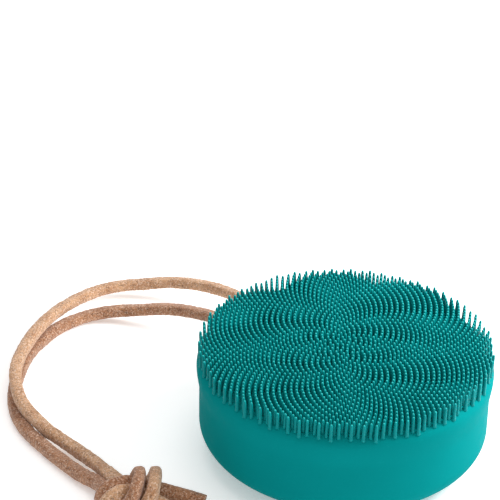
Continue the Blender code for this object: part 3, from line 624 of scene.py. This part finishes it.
def make_skin(look):
    """The turned silicone body with the window for the strap cut through its side."""
    mesh = bmesh.new()
    turned(mesh, skin_profile())
    skin = mesh_object("silicone_body", mesh, look)
    window = window_cutter()
    cut = skin.modifiers.new("window", "BOOLEAN")
    cut.operation = "DIFFERENCE"
    cut.solver = "EXACT"
    cut.object = window
    bpy.context.view_layer.update()
    whole = bpy.data.meshes.new_from_object(
        skin.evaluated_get(bpy.context.evaluated_depsgraph_get()))
    skin.modifiers.clear()
    skin.data = whole
    skin.data.set_sharp_from_angle(angle=math.radians(35))
    bpy.data.objects.remove(window)
    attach(skin, "body")
    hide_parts("silicone_skin")


def face_height(radius):
    """Height of the silicone face at a distance from the axis."""
    past = radius - (BODY_R - SHOULDER)
    if past <= 0:
        return FACE_Z
    return FACE_Z - SHOULDER + math.sqrt(max(0.0, SHOULDER ** 2 - past ** 2))


def bristle_places():
    """Places of the bristles on a golden-angle spiral, as on a sunflower."""
    places = []
    farthest = BRISTLE_FIELD_R + SPIRAL_MIDDLE.length
    for k in range(math.ceil((farthest / SPIRAL_STEP) ** 2)):
        radius = SPIRAL_STEP * math.sqrt(k + 0.5)
        angle = SPIRAL_START - k * GOLDEN_ANGLE
        place = SPIRAL_MIDDLE + Vector((radius * math.cos(angle), radius * math.sin(angle)))
        if place.length < BRISTLE_FIELD_R:
            places.append(place)
    return places


def make_bristles(look):
    """Every bristle: a flared root, a slightly tapered stem and a rounded tip."""
    chance = random.Random(5)
    flat_r = BODY_R - SHOULDER              # the face is flat this far out
    mesh = bmesh.new()
    for place in bristle_places():
        base = face_height(place.length)
        height = TOTAL_H - base - chance.uniform(0.0, BRISTLE_UNEVEN)
        lean = Vector((chance.uniform(-1, 1), chance.uniform(-1, 1))) * BRISTLE_LEAN
        past_flat = max(0.0, (place.length - flat_r) / (BRISTLE_FIELD_R - flat_r))
        lean += place.normalized() * BRISTLE_SPLAY * min(1.0, past_flat)
        turn = chance.uniform(0, math.tau / BRISTLE_SIDES)
        outline = list(BRISTLE_STEM) + [(radius, height - depth) for radius, depth in BRISTLE_TIP]
        rings = []
        for radius, up in outline:
            shift = lean * (up / height)
            rings.append(ring(mesh, place.x + shift.x, place.y + shift.y, base + up,
                              radius, BRISTLE_SIDES, turn))
        join_rings(mesh, rings)
        top = mesh.verts.new((place.x + lean.x, place.y + lean.y, base + height))
        for step in range(BRISTLE_SIDES):
            mesh.faces.new((rings[-1][step], rings[-1][(step + 1) % BRISTLE_SIDES], top))
        mesh.faces.new(rings[0][::-1])
    bristles = mesh_object("bristles", mesh, look)
    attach(bristles, "body")
    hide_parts("bristle_field")


# ---- the CAD pieces' finishes -------------------------------------------------------------
def slot_looks():
    """A finish for each material slot that the remaining CAD pieces use."""
    return {
        "housing": moulded("grey_housing", (0.30, 0.32, 0.33), 0.50),
        "seal_rubber": moulded("black_rubber", (0.018, 0.018, 0.019), 0.70, 0.0005),
        "steel": metal("steel", (0.62, 0.62, 0.64)),
        "cover": moulded("teal_cover", (0.0018, 0.120, 0.122), 0.38),
        "button": moulded("teal_button", (0.003, 0.205, 0.200), 0.55, 0.0004),
        "gold_contact": metal("gold", (0.85, 0.62, 0.25), 0.20),
        "nickel": metal("nickel", (0.66, 0.64, 0.60), 0.22),
        "light_plastic": moulded("clear_light", (0.86, 0.90, 0.93), 0.20),
        "board": moulded("green_board", (0.010, 0.120, 0.050), 0.35, 0.0009),
        "dark_plastic": moulded("dark_plastic", (0.028, 0.028, 0.032), 0.42),
        "ivory_plastic": moulded("ivory_plastic", (0.74, 0.70, 0.60), 0.48),
        "battery_wrap": metal("battery_foil", (0.45, 0.50, 0.58), 0.34, (6.0, 1.0, 1.0)),
        "foam": moulded("grey_foam", (0.110, 0.110, 0.120), 0.92, 0.0006),
        "red_lead": moulded("red_lead", (0.50, 0.018, 0.016), 0.46),
        "black_lead": moulded("black_lead", (0.018, 0.018, 0.020), 0.46),
        "weight_brass": metal("weight_brass", (0.60, 0.44, 0.20), 0.30),
        "socket_plastic": moulded("teal_socket", (0.0018, 0.110, 0.112), 0.42),
    }


def finish_cad_pieces(replaced):
    """Give every CAD piece that is still shown the finish of its material slot."""
    looks = slot_looks()
    for entry in frame["record"]["subparts"]:
        if entry["node"] in replaced:
            continue
        node = frame["nodes"][entry["node"]]
        look = looks[entry["material_slot"]]
        for material_slot in node.material_slots:
            material_slot.material = look


def main():
    make_camera()
    make_studio()
    make_strap()
    make_skin(silicone())
    make_bristles(bristle_silicone())
    finish_cad_pieces({"silicone_skin", "bristle_field", "strap_strand_a", "strap_strand_b",
                       "strap_knot", "strap_tail_a", "strap_tail_b"})


main()
bpy.context.view_layer.update()
